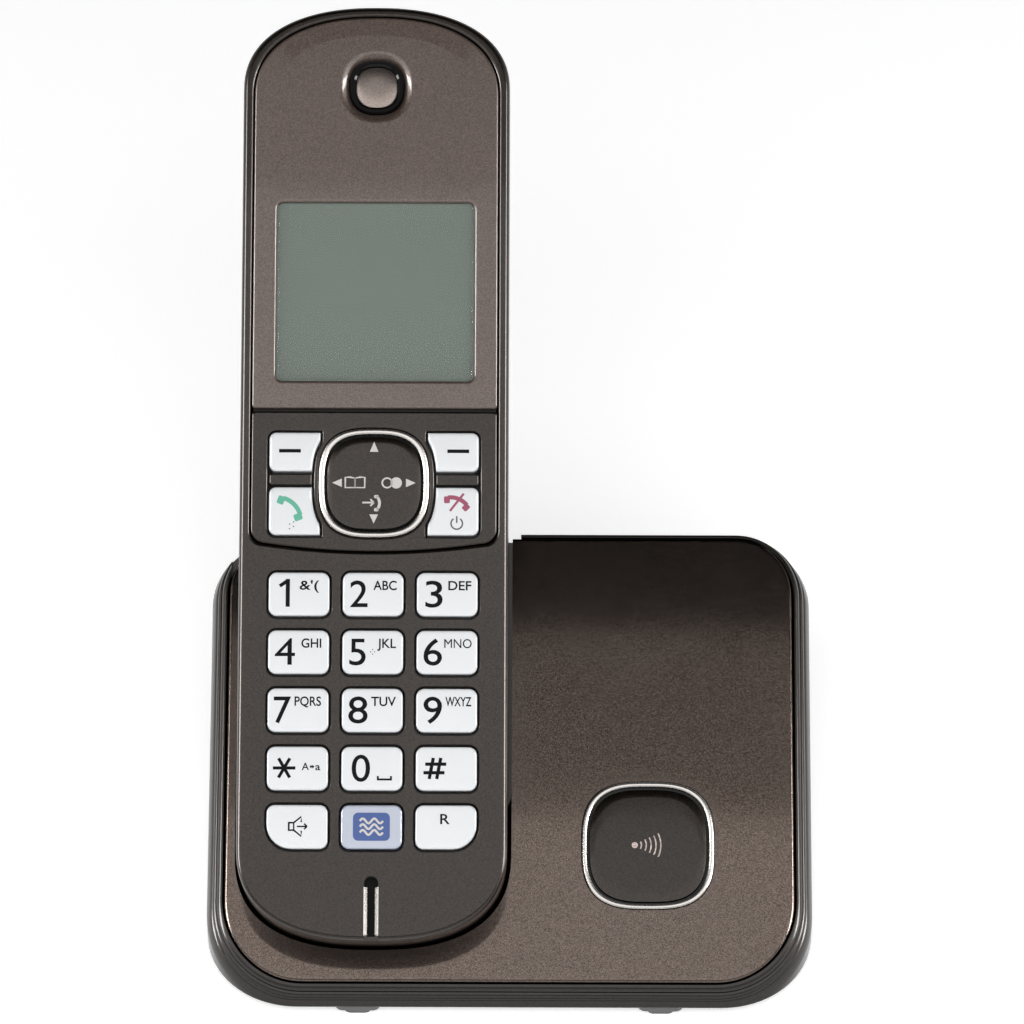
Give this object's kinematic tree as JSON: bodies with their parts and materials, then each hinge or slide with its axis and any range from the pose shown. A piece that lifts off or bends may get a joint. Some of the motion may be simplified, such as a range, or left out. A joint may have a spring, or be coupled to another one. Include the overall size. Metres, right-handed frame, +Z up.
{
  "type": "cordless phone with base",
  "caption": "Cordless telephone handset with display and keypad, lying in a low wedge-shaped charging base with a round-square handset locator button.",
  "frame": {"origin": "centre of the bounding box of the whole docked phone, at the table surface under the feet", "axes": "+X to the right seen from the front, +Y to the back, +Z up; the front of the base faces -Y"},
  "size_m": [0.106, 0.1524, 0.1041],
  "materials": {
    "brown_casing": "dark brown plastic, metallic lacquer with fine flakes, satin",
    "mocha_panel": "lighter brown metallic film under a clear gloss face",
    "bright_ring": "bright plated plastic",
    "pearl_key": "pearl white key caps, satin, dark legends",
    "clear_acrylic": "clear polished acrylic",
    "lcd_glass": "grey-green reflective display, unlit",
    "grey_rubber": "matt",
    "circuit_board": "solder mask green",
    "screw_steel": "zinc plated",
    "contact_metal": "nickel plated spring metal",
    "cell_sleeve": "shrink sleeve, plain",
    "black_plastic": "fine moulded texture"
  },
  "bodies": {
    "base": {"base_bottom_shell": "brown_casing", "base_top_shell": "brown_casing", "locator_ring": "bright_ring", "base_board": "circuit_board", "locator_switch": "black_plastic", "dc_socket": "black_plastic", "line_socket": "black_plastic", "foot_front_left": "grey_rubber", "foot_front_right": "grey_rubber", "foot_rear_left": "grey_rubber", "foot_rear_right": "grey_rubber", "base_screw_1": "screw_steel", "base_screw_2": "screw_steel"},
    "handset": {"handset_front_shell": "brown_casing", "handset_back_shell": "brown_casing", "display_panel": "mocha_panel", "lcd_lens": "clear_acrylic", "lcd_module": "lcd_glass", "ear_cap": "brown_casing", "ear_speaker": "black_plastic", "nav_panel": "brown_casing", "nav_ring": "bright_ring", "keypad_mat": "grey_rubber", "handset_board": "circuit_board", "microphone": "black_plastic", "ringer_speaker": "black_plastic", "battery_cell_left": "cell_sleeve", "battery_cell_right": "cell_sleeve", "battery_contact_lower": "contact_metal", "battery_contact_upper": "contact_metal", "handset_contact_left": "contact_metal", "handset_contact_right": "contact_metal", "handset_screw_1": "screw_steel", "handset_screw_2": "screw_steel"},
    "battery_cover": {"battery_cover": "brown_casing"},
    "nav_pivot": {"nav_pivot": "grey_rubber"},
    "nav_key": {"nav_key": "brown_casing"},
    "locator_button": {"locator_button": "brown_casing"},
    "base_contact_left": {"base_contact_left": "contact_metal"},
    "base_contact_right": {"base_contact_right": "contact_metal"},
    "soft_key_left": {"soft_key_left": "pearl_key"},
    "soft_key_right": {"soft_key_right": "pearl_key"},
    "talk_key": {"talk_key": "pearl_key"},
    "off_key": {"off_key": "pearl_key"},
    "key_speaker": {"key_speaker": "pearl_key"},
    "key_wave": {"key_wave": "clear_acrylic"},
    "key_recall": {"key_recall": "pearl_key"},
    "key_star": {"key_star": "pearl_key"},
    "key_0": {"key_0": "pearl_key"},
    "key_hash": {"key_hash": "pearl_key"},
    "key_7": {"key_7": "pearl_key"},
    "key_8": {"key_8": "pearl_key"},
    "key_9": {"key_9": "pearl_key"},
    "key_4": {"key_4": "pearl_key"},
    "key_5": {"key_5": "pearl_key"},
    "key_6": {"key_6": "pearl_key"},
    "key_1": {"key_1": "pearl_key"},
    "key_2": {"key_2": "pearl_key"},
    "key_3": {"key_3": "pearl_key"}
  },
  "joints": [
    {"name": "handset_lift", "type": "slide", "parent": "base", "child": "handset", "axis": [0, -0.5225, 0.8526], "range_m": [0, 0.06]},
    {"name": "battery_cover_slide", "type": "slide", "parent": "handset", "child": "battery_cover", "axis": [0, -0.8526, -0.5225], "range_m": [0, 0.003]},
    {"name": "nav_rock_up_down", "type": "hinge", "parent": "handset", "child": "nav_pivot", "pos_m": [-0.0239, -0.00375, 0.05715], "axis": [1, 0, 0], "range_deg": [-3, 3], "stiffness_Nm_per_rad": 0.2},
    {"name": "nav_rock_left_right", "type": "hinge", "parent": "nav_pivot", "child": "nav_key", "pos_m": [-0.0239, -0.00375, 0.05715], "axis": [0, 0.8526, 0.5225], "range_deg": [-3, 3], "stiffness_Nm_per_rad": 0.2},
    {"name": "locator_press", "type": "slide", "parent": "base", "child": "locator_button", "axis": [0, 0.3746, -0.9272], "range_m": [0, 0.0005], "stiffness_N_per_m": 2000},
    {"name": "base_contact_left_spring", "type": "slide", "parent": "base", "child": "base_contact_left", "axis": [0, 0, -1], "range_m": [0, 0.0006], "stiffness_N_per_m": 1000},
    {"name": "base_contact_right_spring", "type": "slide", "parent": "base", "child": "base_contact_right", "axis": [0, 0, -1], "range_m": [0, 0.0006], "stiffness_N_per_m": 1000},
    {"name": "soft_key_left_press", "type": "slide", "parent": "handset", "child": "soft_key_left", "axis": [0, 0.5225, -0.8526], "range_m": [0, 0.0005], "stiffness_N_per_m": 1500},
    {"name": "soft_key_right_press", "type": "slide", "parent": "handset", "child": "soft_key_right", "axis": [0, 0.5225, -0.8526], "range_m": [0, 0.0005], "stiffness_N_per_m": 1500},
    {"name": "talk_key_press", "type": "slide", "parent": "handset", "child": "talk_key", "axis": [0, 0.5225, -0.8526], "range_m": [0, 0.0005], "stiffness_N_per_m": 1500},
    {"name": "off_key_press", "type": "slide", "parent": "handset", "child": "off_key", "axis": [0, 0.5225, -0.8526], "range_m": [0, 0.0005], "stiffness_N_per_m": 1500},
    {"name": "key_speaker_press", "type": "slide", "parent": "handset", "child": "key_speaker", "axis": [0, 0.5225, -0.8526], "range_m": [0, 0.0005], "stiffness_N_per_m": 1500},
    {"name": "key_wave_press", "type": "slide", "parent": "handset", "child": "key_wave", "axis": [0, 0.5225, -0.8526], "range_m": [0, 0.0005], "stiffness_N_per_m": 1500},
    {"name": "key_recall_press", "type": "slide", "parent": "handset", "child": "key_recall", "axis": [0, 0.5225, -0.8526], "range_m": [0, 0.0005], "stiffness_N_per_m": 1500},
    {"name": "key_star_press", "type": "slide", "parent": "handset", "child": "key_star", "axis": [0, 0.5225, -0.8526], "range_m": [0, 0.0005], "stiffness_N_per_m": 1500},
    {"name": "key_0_press", "type": "slide", "parent": "handset", "child": "key_0", "axis": [0, 0.5225, -0.8526], "range_m": [0, 0.0005], "stiffness_N_per_m": 1500},
    {"name": "key_hash_press", "type": "slide", "parent": "handset", "child": "key_hash", "axis": [0, 0.5225, -0.8526], "range_m": [0, 0.0005], "stiffness_N_per_m": 1500},
    {"name": "key_7_press", "type": "slide", "parent": "handset", "child": "key_7", "axis": [0, 0.5225, -0.8526], "range_m": [0, 0.0005], "stiffness_N_per_m": 1500},
    {"name": "key_8_press", "type": "slide", "parent": "handset", "child": "key_8", "axis": [0, 0.5225, -0.8526], "range_m": [0, 0.0005], "stiffness_N_per_m": 1500},
    {"name": "key_9_press", "type": "slide", "parent": "handset", "child": "key_9", "axis": [0, 0.5225, -0.8526], "range_m": [0, 0.0005], "stiffness_N_per_m": 1500},
    {"name": "key_4_press", "type": "slide", "parent": "handset", "child": "key_4", "axis": [0, 0.5225, -0.8526], "range_m": [0, 0.0005], "stiffness_N_per_m": 1500},
    {"name": "key_5_press", "type": "slide", "parent": "handset", "child": "key_5", "axis": [0, 0.5225, -0.8526], "range_m": [0, 0.0005], "stiffness_N_per_m": 1500},
    {"name": "key_6_press", "type": "slide", "parent": "handset", "child": "key_6", "axis": [0, 0.5225, -0.8526], "range_m": [0, 0.0005], "stiffness_N_per_m": 1500},
    {"name": "key_1_press", "type": "slide", "parent": "handset", "child": "key_1", "axis": [0, 0.5225, -0.8526], "range_m": [0, 0.0005], "stiffness_N_per_m": 1500},
    {"name": "key_2_press", "type": "slide", "parent": "handset", "child": "key_2", "axis": [0, 0.5225, -0.8526], "range_m": [0, 0.0005], "stiffness_N_per_m": 1500},
    {"name": "key_3_press", "type": "slide", "parent": "handset", "child": "key_3", "axis": [0, 0.5225, -0.8526], "range_m": [0, 0.0005], "stiffness_N_per_m": 1500}
  ]
}
